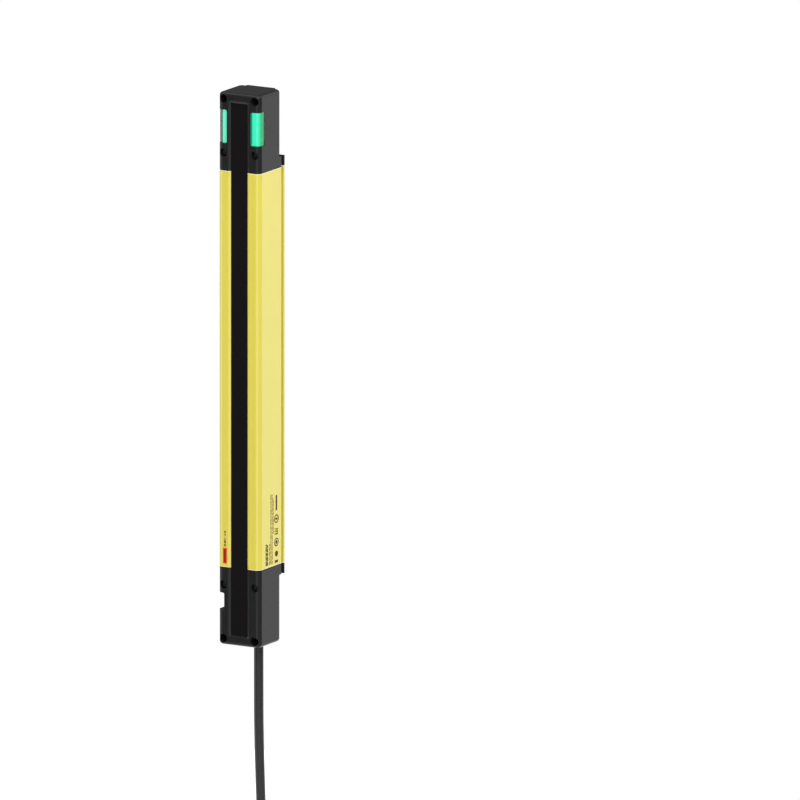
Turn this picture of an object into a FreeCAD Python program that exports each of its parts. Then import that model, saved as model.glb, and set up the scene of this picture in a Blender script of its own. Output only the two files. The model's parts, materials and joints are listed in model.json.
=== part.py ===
"""One bar of a safety light curtain: an aluminium profile with two moulded end caps, a long dark window,
status lenses on the upper cap and a short cable with a round plug under the lower one.

Millimetres. The origin is the centre of the profile's flat rear face. +Z is up and -Y is the window's side.
"depth" is measured from the front plane rearwards. "out" is measured outwards from an end of the profile.
"""
import FreeCAD
import Part
import math
import os

from FreeCAD import Placement, Rotation, Vector

# Outer sizes
bar_width = 30.5
bar_depth = 32.0
profile_length = 256.0
cap_length = 49.8
cap_depth = 29.2
gasket_thickness = 0.6
gasket_inset = 0.25
gasket_hole_room = 0.5
gasket_plug_room = 0.2
gasket_rear_radius = 0.5
front_corner_radius = 3.6
rear_corner_radius = 0.4
cap_rear_radius = 3.7
cap_end_radius = 2.2
cap_plate_half_width = 10.8
cap_plate_radius = 1.3
cap_plate_end_radius = 1.2
tab_height = 6.5
tab_fillet = 1.2

# Grooves along both sides, which brackets hook into
groove_depth = 3.0
groove_start = 27.8
groove_width = 2.8
groove_corner = 0.3

# Window, its seal and the slot that both lie in
aperture_width = 12.3
bevel_width = 1.4
bevel_depth = 0.9
lip_depth = 1.2
window_overlap = 1.25
window_thickness = 2.0
window_upper_margin = 6.3
window_lower_margin = 6.5
window_tuck = 1.2
window_corner = 1.5
aperture_corner = 0.8
seal_thickness = 0.8
seal_width = 1.6
seal_inset = 0.1
seal_corner = 0.6
slot_clearance = 0.2
slot_wall = 1.5
ledge_thickness = 1.5
light_passage = 10.4

# Walls of the profile
side_wall = 2.2
front_wall = 2.0
rear_wall = 2.0
neck_half_width = 9.8
web_thickness = 2.0
port_x = 10.8
port_front_depth = 7.6
port_rear_depth = 22.75
port_radius = 2.4
port_hole_radius = 1.0
port_slit = 1.5
board_rib_reach = 1.6
board_rib_thickness = 1.0
cavity_radius = 1.0
cavity_front_radius = 0.6
cavity_neck_radius = 0.5
pocket_radius = 0.5
pocket_rear_radius = 0.3

# Optics and main board
board_thickness = 1.6
board_front_depth = 18.6
board_clearance = 0.1
beam_pitch = 20.0
lens_diameter = 9.0
lens_edge = 1.2
lens_crown = 1.1
lens_seat_depth = 1.4
lens_seat_room = 0.05
lens_seat_ledge = 0.6
rail_nose_half_width = 6.5
rail_nose_end = 12.0
rail_half_width = 10.8
rail_wall = 1.5
rail_nose_radius = 0.6
rail_shoulder_radius = 0.5
rail_pocket_width = 2.4
throat_radius = 1.7
diode_radius = 1.5
diode_height = 3.4
piece_gap = 0.3

# Reach of joined pieces and of cuts past a face
overlap = 0.5
small_overlap = 0.2
hair = 0.01

# Pieces on the main board
processor_width = 8.0
processor_height = 1.4
processor_x = -3.5
driver_width = 4.0
driver_length = 5.0
driver_height = 1.2
driver_x = -4.0
capacitor_radius = 2.8
capacitor_height = 5.4
capacitor_edge = 0.5
capacitor_x = 4.0
chip_chamfer = 0.2
ribbon_width = 6.0
ribbon_thickness = 0.4
ribbon_bend = 3.0
socket_height = 3.0
socket_length = 5.0
socket_half_width = 4.5
socket_inset = 2.0
small_socket_inset = 3.0

# Cap mouldings
cap_wall = 2.0
cap_end_wall = 2.2
screw_x = 11.3
recess_radius = 2.75
recess_wall = 1.05
recess_floor = 1.5
seam_screw_out = 11.0
end_screw_inset = 4.1
seam_recess_depth = 3.4
end_recess_depth = 5.5
screw_head_radius = 2.35
screw_head_height = 1.6
screw_hole_radius = 1.45
screw_radius = 1.2
screw_engagement = 7.0
hex_across = 2.0
hex_depth = 0.9
screw_head_edge = 0.25
screw_tip_chamfer = 0.3

# Status lenses on the front corners of the upper cap
lens_inner_x = 8.6
lens_side_depth = 6.8
lens_top_inset = 11.1
lens_length = 21.6
lens_corner = 1.2
lens_inset = 0.3
lens_gap = 0.12
lens_shell = 1.9
guide_x0 = 9.9
guide_x1 = 12.3
guide_length = 18.0
guide_bite = 0.3

# End frames, which carry the caps and the small boards
frame_flange = 2.5
frame_front_depth = 5.8
frame_rear_depth = 24.8
frame_corner_radius = 1.0
plug_half_width = 7.8
plug_front_depth = 6.0
plug_rear_depth = 29.6
plug_length = 10.0
plug_wall = 1.8
plug_corner_radius = 0.8
chassis_depth = 21.0
chassis_thickness = 1.8
chassis_opening = 5.0
rib_front_depth = 17.0
rib_thickness = 2.0
boss_radius = 2.4
frame_screw_length = 9.0
frame_screw_head = 1.7
frame_screw_head_radius = 1.95
shank_room = 0.35
head_room = 0.2
frame_screw_socket = 0.9
frame_screw_socket_depth = 0.8
frame_screw_edge = 0.6

# Small boards in the caps
small_board_start = 15.0
indicator_board_inset = 6.2
terminal_board_gap = 5.0
led_x = 11.0
led_pitch = 6.0
led_height = 1.2
led_width = 2.0
led_length = 2.8
led_chamfer = 0.25
board_screw_radius = 0.8
board_screw_inset = 1.8
board_screw_length = 2.4
board_screw_head = 1.0
board_screw_head_radius = 1.3
board_screw_room = 0.1
board_screw_offset = 0.1

# Notch in the left front corner of the lower cap
notch_start = 16.2
notch_length = 11.0
notch_width = 4.7
notch_depth = 14.0
notch_wall = 1.5
notch_corner = 1.2

# Cable, its entry and its clamp
cable_radius = 3.0
cable_x = 4.45
cable_depth = 17.7
cable_inner_length = 12.2
cable_straight = 20.0
cable_bend = 65.0
cable_reach = 105.6
cable_bend_set = (0.12, 0.04)
cable_end_set = (1.6, 0.3)
bushing_radius = 3.8
bushing_flange_radius = 4.2
bushing_flange = 1.6
bushing_fit = 0.05
clamp_inset = 5.0
clamp_length = 6.0
clamp_wall = 1.4
clamp_gap = 0.3
clamp_corner = 0.8
clamp_ear = 2.4
clamp_relief = 0.4
clamp_screw_offset = 6.1
clamp_screw_radius = 1.1
clamp_screw_room = 0.2
clamp_screw_head = 1.5
clamp_screw_head_radius = 2.1
clamp_screw_length = 9.0
wire_radius = 0.5
wire_count = 5
wire_pitch = 1.15
wire_first_run = 1.2
wire_last_run = 1.4
bend_share = 0.45
header_pitch = 2.0
header_offset = -1.0
header_inset = 1.0
header_height = 6.0
header_front = 2.6
header_bore_radius = 0.7
wire_entry_depth = 13.2

# Plug on the end of the cable
plug_tail_length = 14.0
plug_tail_radius = 4.2
plug_grip_length = 17.0
plug_grip_radius = 7.25
plug_grip_edge = 0.8
plug_shoulder = 0.7
plug_shoulder_length = 1.4
plug_flare = 0.6
plug_flare_start = 8.4
plug_ring_count = 3
plug_ring_start = 2.2
plug_ring_pitch = 2.6
plug_ring_width = 1.1
plug_ring_depth = 0.6
plug_sleeve_length = 13.0
plug_thread_radius = 6.0
plug_collar_radius = 6.8
plug_collar_length = 3.0
plug_sleeve_bore = 4.9
plug_pin_count = 5
plug_pin_radius = 0.5
plug_pin_circle = 2.5
plug_pin_length = 7.0
plug_insert_length = 5.0
plug_root_depth = 0.9
plug_neck_length = 1.6
plug_lead_in = 0.6
plug_seal_width = 1.3
plug_seal_length = 1.2
plug_insert_gap = 0.05
plug_key_width = 1.2
plug_key_depth = 1.0
plug_key_inset = 1.0
plug_pin_tip = 0.3
flute_count = 10
flute_radius = 1.5
flute_depth = 0.4
flute_margin = 2.5

half_width = bar_width / 2
half_length = profile_length / 2
window_width = aperture_width + 2 * window_overlap
slot_half = window_width / 2 + slot_clearance
slot_floor = lip_depth + window_thickness + seal_thickness
ledge_back = slot_floor + ledge_thickness
block_half = slot_half + slot_wall
inner_half = half_width - side_wall
cap_inner_half = half_width - cap_wall
cap_inner_rear = groove_start - cap_wall
frame_half_width = cap_inner_half - piece_gap
small_board_half_width = frame_half_width - piece_gap
cavity_rear = groove_start - web_thickness
board_back = board_front_depth + board_thickness
cap_end_out = gasket_thickness + cap_length
cap_inner_end = cap_end_out - cap_end_wall
lens_top_out = cap_end_out - lens_top_inset
cable_inner_end = cap_inner_end - cable_inner_length
clamp_start = cap_inner_end - clamp_inset - clamp_length
indicator_board_end = cap_inner_end - indicator_board_inset
terminal_board_end = cable_inner_end - terminal_board_gap
small_board_front = rib_front_depth - board_thickness
bar_bottom = -half_length - cap_end_out


def y_of(depth):
    return depth - bar_depth


def box(x0, x1, d0, d1, z0, z1):
    """A block between two x values, two depths and two heights."""
    return Part.makeBox(x1 - x0, d1 - d0, z1 - z0, Vector(x0, y_of(d0), z0))


def upright(x, depth, z0, z1, radius):
    """A round bar along Z."""
    return Part.makeCylinder(radius, z1 - z0, Vector(x, y_of(depth), z0), Vector(0, 0, 1))


def crosswise(x, z, d0, d1, radius):
    """A round bar along Y, from one depth to another."""
    return Part.makeCylinder(radius, d1 - d0, Vector(x, y_of(d0), z), Vector(0, 1, 0))


def rounded_wire(corners):
    """A closed wire through 3-D corners, each with its own radius, in one plane."""
    edges = []
    starts = []
    ends = []
    count = len(corners)
    for i in range(count):
        point, radius = corners[i]
        before = (corners[i - 1][0] - point).normalize()
        after = (corners[(i + 1) % count][0] - point).normalize()
        if radius <= 0:
            starts.append(point)
            ends.append(point)
            edges.append(None)
            continue
        half_turn = before.getAngle(after) / 2
        reach = radius / math.tan(half_turn)
        start = point + before * reach
        end = point + after * reach
        centre = point + (before + after).normalize() * (radius / math.sin(half_turn))
        middle = centre + (point - centre).normalize() * radius
        starts.append(start)
        ends.append(end)
        edges.append(Part.Arc(start, middle, end).toShape())
    ring = []
    for i in range(count):
        if edges[i] is not None:
            ring.append(edges[i])
        a = ends[i]
        b = starts[(i + 1) % count]
        if a.distanceToPoint(b) > 1e-6:
            ring.append(Part.LineSegment(a, b).toShape())
    return Part.Wire(ring)


def section(corners, z):
    """A flat face at height z from (x, depth, radius) corners."""
    return Part.Face(rounded_wire([(Vector(x, y_of(d), z), r) for x, d, r in corners]))


def prism(corners, z0, z1):
    return section(corners, z0).extrude(Vector(0, 0, z1 - z0))


def both_sides(shape):
    """A shape and its mirror image across the bar's middle plane."""
    return [shape, shape.mirror(Vector(0, 0, 0), Vector(1, 0, 0))]


def symmetric(right_half):
    """Closes a list of (x, depth, radius) corners, given for the right side, with its mirror image."""
    return right_half + [(-x, d, r) for x, d, r in reversed(right_half)]


def joined(shapes):
    whole = shapes[0].multiFuse(shapes[1:]) if len(shapes) > 1 else shapes[0]
    return whole.removeSplitter()


def at_upper_end(shape):
    return shape.translated(Vector(0, 0, half_length))


def at_lower_end(shape):
    return shape.mirror(Vector(0, 0, 0), Vector(0, 0, 1)).translated(Vector(0, 0, -half_length))


def bar_outline():
    """The profile's outer section, with a bracket groove in each side."""
    groove_x = half_width - groove_depth
    groove_end = groove_start + groove_width
    return symmetric(
        [
            (half_width, 0, front_corner_radius),
            (half_width, groove_start, groove_corner),
            (groove_x, groove_start, groove_corner),
            (groove_x, groove_end, groove_corner),
            (half_width, groove_end, groove_corner),
            (half_width, bar_depth, rear_corner_radius),
        ]
    )


def window_slot(z0, z1):
    """The slot that holds the window and its seal, behind the bevelled lips."""
    edge = aperture_width / 2
    return joined(
        [
            prism(
                symmetric(
                    [
                        (edge + bevel_width, -1, 0),
                        (edge + bevel_width, 0, 0),
                        (edge, bevel_depth, 0),
                        (edge, lip_depth + overlap, 0),
                    ]
                ),
                z0,
                z1,
            ),
            box(-slot_half, slot_half, lip_depth, slot_floor, z0, z1),
        ]
    )


def housing_profile():
    """The extrusion: hollow front corners, the window slot, screw ports, board grooves and a rear neck."""
    inner = inner_half
    z0, z1 = -half_length, half_length
    cavity = [
        (inner, ledge_back, cavity_front_radius),
        (inner, cavity_rear, cavity_radius),
        (neck_half_width, cavity_rear, cavity_neck_radius),
        (neck_half_width, bar_depth - rear_wall, cavity_radius),
    ]
    pocket = [
        (block_half, front_wall, pocket_radius),
        (inner, front_wall, slot_floor - front_wall - pocket_radius),
        (inner, slot_floor, pocket_rear_radius),
        (block_half, slot_floor, pocket_rear_radius),
    ]
    added = []
    removed = []
    for depth, lean in ((port_front_depth, -45), (port_rear_depth, 45)):
        added.append(upright(port_x, depth, z0, z1, port_radius))
        removed.append(upright(port_x, depth, z0, z1, port_hole_radius))
        slit = box(port_x - port_radius - 1, port_x, depth - port_slit / 2, depth + port_slit / 2, z0, z1)
        slit.rotate(Vector(port_x, y_of(depth), 0), Vector(0, 0, 1), lean)
        removed.append(slit)
    for depth in (board_front_depth - board_clearance - board_rib_thickness, board_back + board_clearance):
        added.append(
            box(inner - board_rib_reach, inner + overlap, depth, depth + board_rib_thickness, z0, z1)
        )
    removed.append(prism(pocket, z0, z1))
    solid = prism(bar_outline(), z0, z1).cut(prism(symmetric(cavity), z0, z1))
    for piece in added:
        for half in both_sides(piece):
            solid = solid.fuse(half)
    for piece in removed:
        for half in both_sides(piece):
            solid = solid.cut(half)
    passage = light_passage / 2
    solid = solid.cut(window_slot(z0 - 1, z1 + 1))
    solid = solid.cut(box(-passage, passage, lip_depth, ledge_back + overlap, z0 - 1, z1 + 1))
    return solid.removeSplitter()


def window_ends():
    """The heights of the window's two ends, tucked behind the caps' lips."""
    low = -half_length - gasket_thickness - cap_length + window_lower_margin - window_tuck
    high = half_length + gasket_thickness + cap_length - window_upper_margin + window_tuck
    return low, high


def front_window():
    low, high = window_ends()
    half = window_width / 2
    corners = [(-half, low), (half, low), (half, high), (-half, high)]
    wire = rounded_wire([(Vector(x, y_of(lip_depth), z), window_corner) for x, z in corners])
    return Part.Face(wire).extrude(Vector(0, window_thickness, 0))


def window_seal():
    low, high = window_ends()
    depth = lip_depth + window_thickness

    def frame(inset, radius):
        half = window_width / 2 - inset
        corners = [
            (-half, low + inset),
            (half, low + inset),
            (half, high - inset),
            (-half, high - inset),
        ]
        wire = rounded_wire([(Vector(x, y_of(depth), z), radius) for x, z in corners])
        return Part.Face(wire).extrude(Vector(0, seal_thickness, 0))

    return frame(seal_inset, window_corner - seal_inset).cut(frame(seal_width, seal_corner))


def cap_outline(inset=0.0):
    """The cap's section over its full width, which ends where the profile's grooves start."""
    half = half_width - inset
    return symmetric(
        [
            (half, inset, front_corner_radius - inset),
            (half, groove_start - inset, cap_rear_radius - inset),
        ]
    )


def cap_core_outline():
    return symmetric(
        [
            (cap_inner_half, cap_wall, front_corner_radius - cap_wall),
            (cap_inner_half, cap_inner_rear, cap_rear_radius - cap_wall),
        ]
    )


def edges_at(shape, height):
    """The edges that lie wholly at one height."""
    found = []
    for edge in shape.Edges:
        bounds = edge.BoundBox
        if abs(bounds.ZMin - height) < 1e-4 and abs(bounds.ZMax - height) < 1e-4:
            found.append(edge)
    return found


def cap_body():
    """The cap's outer form: a rounded box, a narrower rear plate and a full-section tab at the profile."""
    low = gasket_thickness
    high = gasket_thickness + cap_length
    upper = prism(cap_outline(), low, high)
    upper = upper.makeFillet(cap_end_radius, edges_at(upper, high))
    plate_start = groove_start - cap_rear_radius
    plate = prism(
        symmetric(
            [
                (cap_plate_half_width, plate_start, 0),
                (cap_plate_half_width, cap_depth, cap_plate_radius),
            ]
        ),
        low,
        high,
    )
    rims = [e for e in edges_at(plate, high) if e.BoundBox.YMax > y_of(plate_start) + 1e-3]
    plate = plate.makeFillet(cap_plate_end_radius, rims)
    tab = prism(bar_outline(), low, low + tab_height)
    top = low + tab_height
    reach = cap_plate_half_width - cap_plate_radius
    bar = box(-reach, reach, cap_depth - overlap, cap_depth + tab_fillet, top - overlap, top + tab_fillet)
    hollow_start = Vector(-reach, y_of(cap_depth + tab_fillet), top + tab_fillet)
    hollow = Part.makeCylinder(tab_fillet, 2 * reach, hollow_start, Vector(1, 0, 0))
    return joined([upper, plate, tab, bar.cut(hollow)])


def screw_places():
    """The four cap screws: x, distance out from the profile and the depth of the recess over the head."""
    end_out = gasket_thickness + cap_length - end_screw_inset
    seam_out = gasket_thickness + seam_screw_out
    return [
        (side * screw_x, out, deep)
        for out, deep in ((seam_out, seam_recess_depth), (end_out, end_recess_depth))
        for side in (-1, 1)
    ]


def moulded_cap(window_margin):
    """A hollow cap, open towards the profile, with screw wells and the end of the window slot."""
    low = gasket_thickness
    high = gasket_thickness + cap_length
    outer = cap_body()
    core = prism(cap_core_outline(), low - 1, high - cap_end_wall)
    shell = outer.cut(core)
    neck_top = low + tab_height - cap_wall
    neck = box(-neck_half_width, neck_half_width, groove_start, bar_depth - rear_wall, low - 1, neck_top)
    shell = shell.cut(neck)
    window_end = high - window_margin
    slot_end = window_end + window_tuck + slot_clearance
    inside = [box(-block_half, block_half, 1, ledge_back, low, slot_end + slot_wall)]
    wells = []
    for x, out, deep in screw_places():
        seat = deep + screw_head_height
        inside.append(crosswise(x, out, 1, seat + recess_floor, recess_radius + recess_wall))
        wells.append(crosswise(x, out, -1, seat, recess_radius))
        wells.append(crosswise(x, out, seat - 1, seat + recess_floor + 1, screw_hole_radius))
    added = [piece.common(outer) for piece in inside]
    shell = joined([shell] + added)
    mouth = aperture_cutter(aperture_width / 2, window_end)
    slot = box(-slot_half, slot_half, lip_depth, slot_floor, low - 1, slot_end)
    return shell.cut(Part.makeCompound(wells)).cut(mouth).cut(slot)


def aperture_cutter(edge, window_end):
    """The bevelled opening over the end of the window."""

    def rectangle(grow, depth, radius):
        half = edge + grow
        corners = [
            (-half, -5, 0),
            (half, -5, 0),
            (half, window_end + grow, radius),
            (-half, window_end + grow, radius),
        ]
        return rounded_wire([(Vector(x, y_of(depth), z), r) for x, z, r in corners])

    outer = 2 * aperture_corner
    ends = [rectangle(bevel_width, 0, outer), rectangle(0, bevel_depth, aperture_corner)]
    bevel = Part.makeLoft(ends, True, True)
    over = Part.Face(rectangle(bevel_width, -1, outer)).extrude(Vector(0, 1, 0))
    under = Part.Face(rectangle(0, bevel_depth, aperture_corner))
    under = under.extrude(Vector(0, lip_depth - bevel_depth + overlap, 0))
    return joined([over, bevel, under])


def lens_opening(shrink):
    """The place of the right status lens: it wraps round the front corner."""
    low = lens_top_out - lens_length + shrink
    high = lens_top_out - shrink
    solid = box(lens_inner_x + shrink, half_width + 2, -2, lens_side_depth - shrink, low, high)
    rounded = []
    for edge in solid.Edges:
        b = edge.BoundBox
        inner = b.YLength > 1 and abs(b.XMin - lens_inner_x - shrink) < 1e-4 and b.XLength < 1e-4
        rear = b.XLength > 1 and abs(b.YMin - y_of(lens_side_depth - shrink)) < 1e-4
        if inner or rear:
            rounded.append(edge)
    return solid.makeFillet(lens_corner, rounded)


def indicator_lens():
    """The right status lens: a clear skin flush with the corner, a hidden rim and a light guide behind."""
    low = lens_top_out - lens_length
    skin = prism(cap_outline(lens_inset), low - 2, lens_top_out + 2)
    hollow = symmetric(
        [
            (half_width - lens_shell, lens_shell, front_corner_radius - lens_shell),
            (half_width - lens_shell, groove_start - lens_shell, cap_rear_radius - lens_shell),
        ]
    )
    skin = skin.cut(prism(hollow, low - 3, lens_top_out + 3))
    skin = skin.common(lens_opening(lens_gap))
    middle = lens_top_out - lens_length / 2
    led_front = small_board_front - led_height
    half = guide_length / 2
    start = lens_shell - guide_bite
    guide = box(guide_x0, guide_x1, start, led_front - piece_gap, middle - half, middle + half)
    return joined([skin, guide])


def upper_cap():
    cap = moulded_cap(window_upper_margin)
    for opening in both_sides(lens_opening(0)):
        cap = cap.cut(opening)
    return at_upper_end(cap)


def notch_block(grow):
    """The notch in the left front corner, or its lining when grown by the wall."""
    low = gasket_thickness + notch_start - grow
    high = gasket_thickness + notch_start + notch_length + grow
    outside = 0 if grow else 2
    return box(
        -half_width - outside, -half_width + notch_width + grow, -outside, notch_depth + grow, low, high
    )


def lower_cap():
    cap = moulded_cap(window_lower_margin)
    lining = notch_block(notch_wall).common(cap_body())
    cap = joined([cap, lining])
    notch = notch_block(0)
    rounded = []
    for edge in notch.Edges:
        b = edge.BoundBox
        if b.YLength > 1 and abs(b.XMax + half_width - notch_width) < 1e-4 and b.XLength < 1e-4:
            rounded.append(edge)
    cap = cap.cut(notch.makeFillet(notch_corner, rounded))
    high = gasket_thickness + cap_length
    cap = cap.cut(upright(cable_x, cable_depth, high - cap_end_wall - 1, high + 1, bushing_radius))
    return at_lower_end(cap)


def end_gasket():
    """The flat gasket between the profile's end and the cap, round the frame's plug and screws."""
    inset = gasket_inset
    groove_x = half_width - groove_depth - inset
    outline = symmetric(
        [
            (half_width - inset, inset, front_corner_radius - inset),
            (half_width - inset, groove_start - inset, groove_corner),
            (groove_x, groove_start - inset, groove_corner),
            (groove_x, bar_depth - inset, gasket_rear_radius),
        ]
    )
    sheet = prism(outline, 0, gasket_thickness)
    plug = plug_half_width + piece_gap
    front = plug_front_depth - gasket_plug_room
    rear = plug_rear_depth + gasket_plug_room
    sheet = sheet.cut(box(-plug, plug, front, rear, -1, gasket_thickness + 1))
    sheet = sheet.cut(window_slot(-1, gasket_thickness + 1))
    hole_radius = port_hole_radius + gasket_hole_room
    for depth in (port_front_depth, port_rear_depth):
        for side in (-1, 1):
            sheet = sheet.cut(upright(side * port_x, depth, -1, gasket_thickness + 1, hole_radius))
    return sheet


def end_frame(board_screw_out, sides):
    """A cast frame: a plug in the profile, a flange with four screws and a chassis with bosses for the cap.

    The ribs carry a small board, whose screws go in at board_screw_out on the sides given.
    """
    low = gasket_thickness
    flange_top = low + frame_flange
    chassis_top = cap_inner_end - piece_gap
    flange = prism(
        symmetric(
            [
                (frame_half_width, frame_front_depth, frame_corner_radius),
                (frame_half_width, frame_rear_depth, frame_corner_radius),
            ]
        ),
        low,
        flange_top,
    )
    plug = box(
        -plug_half_width, plug_half_width, plug_front_depth, plug_rear_depth, -plug_length, low + hair
    )
    plug = plug.makeFillet(plug_corner_radius, [e for e in plug.Edges if e.BoundBox.ZLength > 1])
    plug = plug.cut(
        box(-plug_half_width - 1, plug_half_width + 1, frame_rear_depth, bar_depth, 0, low + 1)
    )
    chassis = box(
        -frame_half_width,
        frame_half_width,
        chassis_depth,
        chassis_depth + chassis_thickness,
        low,
        chassis_top,
    )
    rib = box(
        frame_half_width - rib_thickness,
        frame_half_width,
        rib_front_depth,
        chassis_depth + overlap,
        low,
        chassis_top,
    )
    pieces = [flange, plug, chassis] + both_sides(rib)
    holes = []
    inner = plug_half_width - plug_wall
    front = plug_front_depth + plug_wall
    holes.append(box(-inner, inner, front, plug_rear_depth - plug_wall, -plug_length - 1, -plug_wall))
    holes.append(box(-inner, inner, front, frame_rear_depth - plug_wall, -plug_length, flange_top + 1))
    before = chassis_depth - overlap
    behind = chassis_depth + chassis_thickness + overlap
    holes.append(box(-inner, inner, before, behind, flange_top, flange_top + chassis_opening))
    for x, out, deep in screw_places():
        seat = deep + screw_head_height + recess_floor
        back = chassis_depth + chassis_thickness
        limited = box(-frame_half_width, frame_half_width, 0, cap_depth, low, chassis_top)
        pieces.append(crosswise(x, out, seat, chassis_depth + overlap, boss_radius).common(limited))
        holes.append(crosswise(x, out, seat - 1, back + 1, screw_radius))
    whole = joined(pieces)
    shank_hole = port_hole_radius + shank_room
    for depth in (port_front_depth, port_rear_depth):
        for side in (-1, 1):
            holes.append(upright(side * port_x, depth, low - 1, flange_top + 1, shank_hole))
            if depth == port_rear_depth:
                holes.append(
                    upright(
                        side * port_x,
                        depth,
                        flange_top,
                        flange_top + frame_screw_head + 2 * head_room,
                        frame_screw_head_radius + head_room,
                    )
                )
    for side in sides:
        x = side * board_screw_x()
        holes.append(crosswise(x, board_screw_out, rib_front_depth - 1, chassis_depth, board_screw_radius))
    for hole in holes:
        whole = whole.cut(hole)
    return whole.removeSplitter()


def upper_end_frame():
    return at_upper_end(end_frame(indicator_board_end - board_screw_inset, (-1, 1)))


def lower_end_frame():
    """The lower frame has a saddle for the cable on its chassis."""
    frame = end_frame(terminal_board_end - board_screw_inset, (1,))
    start = clamp_start
    end = clamp_start + clamp_length
    left, right = clamp_span()
    saddle = box(left, right, cable_depth + clamp_gap, chassis_depth + overlap, start, end)
    frame = joined([frame, saddle])
    frame = frame.cut(upright(cable_x, cable_depth, start - 1, end + 1, cable_radius))
    back = chassis_depth + chassis_thickness + 1
    middle = (start + end) / 2
    screw_x_place = cable_x - clamp_screw_offset
    frame = frame.cut(crosswise(screw_x_place, middle, cable_depth, back, clamp_screw_radius))
    flange_start = cap_inner_end - bushing_flange - piece_gap
    room = upright(cable_x, cable_depth, flange_start, cap_end_out, bushing_flange_radius + piece_gap)
    return at_lower_end(frame.cut(room))


def clamp_span():
    return cable_x - clamp_screw_offset - clamp_ear, cable_x + cable_radius + clamp_wall


def cable_clamp():
    start = clamp_start
    end = clamp_start + clamp_length
    left, right = clamp_span()
    front = cable_depth - cable_radius - clamp_wall + clamp_relief
    bridge = box(left, right, front, cable_depth, start, end)
    limit = y_of(front) + hair
    corners = [e for e in bridge.Edges if e.BoundBox.ZLength > 1 and e.BoundBox.YMax < limit]
    bridge = bridge.makeFillet(clamp_corner, corners)
    bridge = bridge.cut(upright(cable_x, cable_depth, start - 1, end + 1, cable_radius))
    x = cable_x - clamp_screw_offset
    middle = (start + end) / 2
    hole_radius = clamp_screw_radius + clamp_screw_room
    bridge = bridge.cut(crosswise(x, middle, front - 1, cable_depth + 1, hole_radius))
    return at_lower_end(bridge)


def hexagon_socket(x, z, depth):
    """A hexagonal prism cut into a head that faces forwards."""
    radius = hex_across / math.sqrt(3)
    y = y_of(depth) - overlap
    points = []
    for i in range(6):
        angle = math.radians(60 * i + 30)
        points.append(Vector(x + radius * math.cos(angle), y, z + radius * math.sin(angle)))
    points.append(points[0])
    return Part.Face(Part.makePolygon(points)).extrude(Vector(0, hex_depth + overlap, 0))


def screw_along_y(x, z, head_top, head_radius, head_height, radius, length):
    """A cap screw whose head faces forwards."""
    head = crosswise(x, z, head_top, head_top + head_height, head_radius)
    rim = [e for e in head.Edges if abs(e.BoundBox.YMax - y_of(head_top)) < 1e-4]
    head = head.makeFillet(screw_head_edge, [e for e in rim if e.BoundBox.XLength > 1])
    seat = head_top + head_height
    shank = crosswise(x, z, seat - small_overlap, seat + length, radius)
    tip = [e for e in shank.Edges if abs(e.BoundBox.YMin - y_of(seat + length)) < 1e-4]
    shank = shank.makeChamfer(screw_tip_chamfer, [e for e in tip if e.BoundBox.XLength > radius])
    return head.fuse(shank).cut(hexagon_socket(x, z, head_top)).removeSplitter()


def cap_screws():
    screws = []
    for x, out, deep in screw_places():
        length = recess_floor + screw_engagement
        screws.append(
            screw_along_y(x, out, deep, screw_head_radius, screw_head_height, screw_radius, length)
        )
    return Part.makeCompound(screws)


def frame_screws():
    """Four self-tapping screws from the frame's flange into the profile's ports."""
    screws = []
    seat = gasket_thickness + frame_flange
    for depth in (port_front_depth, port_rear_depth):
        for side in (-1, 1):
            x = side * port_x
            head = upright(x, depth, seat, seat + frame_screw_head, frame_screw_head_radius)
            top = [e for e in edges_at(head, seat + frame_screw_head) if e.BoundBox.XLength > 1]
            head = head.makeFillet(frame_screw_edge, top)
            head = head.cut(
                upright(
                    x,
                    depth,
                    seat + frame_screw_head - frame_screw_socket_depth,
                    seat + frame_screw_head + 1,
                    frame_screw_socket,
                )
            )
            shank = upright(x, depth, seat - frame_screw_length, seat + small_overlap, port_hole_radius)
            screws.append(head.fuse(shank).removeSplitter())
    return Part.makeCompound(screws)


def board_ends():
    """How far the main board and the optics rail reach from the middle, clear of the frames' plugs."""
    return half_length - plug_length - piece_gap


def beam_heights():
    """Beams at an even pitch, centred on the profile."""
    room = 2 * board_ends() - lens_diameter - 2 * rail_wall
    count = int(room / beam_pitch) + 1
    first = -beam_pitch * (count - 1) / 2
    return [first + beam_pitch * i for i in range(count)]


def emitter_board():
    end = board_ends()
    half = inner_half - piece_gap
    return box(-half, half, board_front_depth, board_back, -end, end)


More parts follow.
